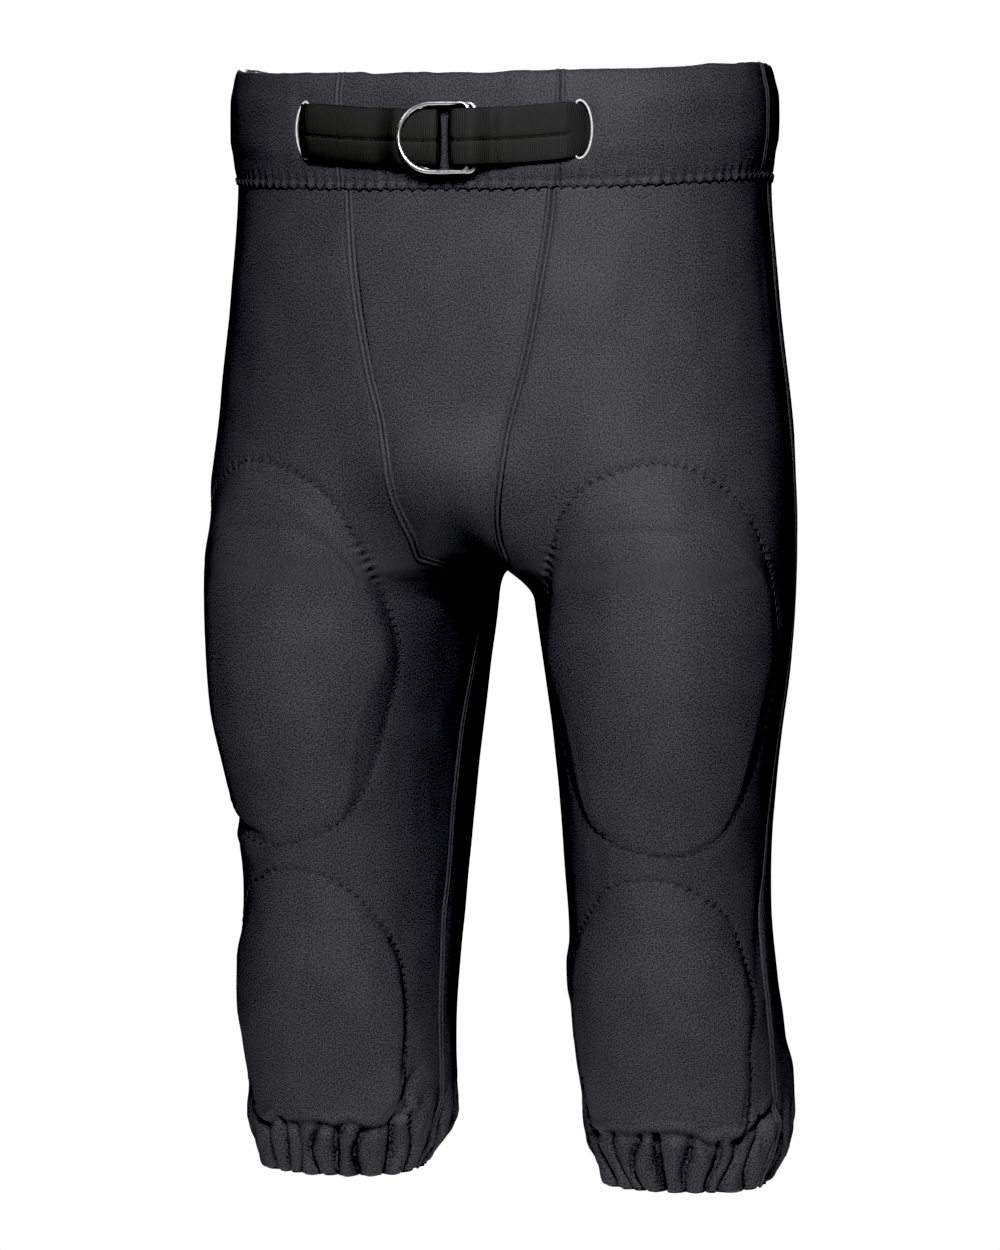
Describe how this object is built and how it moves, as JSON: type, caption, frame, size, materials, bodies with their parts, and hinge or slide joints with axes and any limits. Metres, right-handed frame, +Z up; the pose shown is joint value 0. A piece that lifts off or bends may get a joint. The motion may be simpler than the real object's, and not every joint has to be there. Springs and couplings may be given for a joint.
{
  "type": "padded football pants",
  "caption": "Knee-length padded sports pants in dark grey stretch knit, with a webbing belt run through a waistband tunnel and D-rings, sewn-in thigh and knee pads and gathered hems",
  "frame": {"origin": "centre of the waist opening at the belt's mid-height in front", "axes": "+Z up, the front faces -Y, the wearer's left is +X"},
  "size_m": [0.3718, 0.2581, 0.6949],
  "materials": {
    "knit": "dark graphite stretch knit with a soft sheen",
    "lining": "plain dark pocket lining",
    "pad_foam": "closed-cell foam",
    "webbing": "ribbed black webbing",
    "ring_metal": "bright plated wire",
    "white_thread": "white bar-tacked thread",
    "elastic": "covered knit elastic"
  },
  "bodies": {
    "pants": {"back_leg_panel_left": "knit", "back_leg_panel_right": "knit", "belt": "webbing", "d_ring_inner": "ring_metal", "front_centre_panel": "knit", "front_leg_panel_left": "knit", "front_leg_panel_right": "knit", "hem_casing_left": "knit", "hem_casing_right": "knit", "hem_elastic_left": "elastic", "hem_elastic_right": "elastic", "knee_pad_left": "pad_foam", "knee_pad_right": "pad_foam", "knee_pocket_lining_left": "lining", "knee_pocket_lining_right": "lining", "slot_binding_left": "white_thread", "slot_binding_right": "white_thread", "thigh_pad_left": "pad_foam", "thigh_pad_right": "pad_foam", "thigh_pocket_lining_left": "lining", "thigh_pocket_lining_right": "lining", "waistband_back_left": "knit", "waistband_back_right": "knit", "waistband_front_centre": "knit", "waistband_front_left": "knit", "waistband_front_right": "knit"},
    "outer_ring": {"d_ring_outer": "ring_metal"}
  },
  "joints": [
    {"name": "outer_ring_swing", "type": "hinge", "parent": "pants", "child": "outer_ring", "pos_m": [0.01734, -0.12281, -0.008], "axis": [0, 0, 1], "range_deg": [0, 140]}
  ]
}
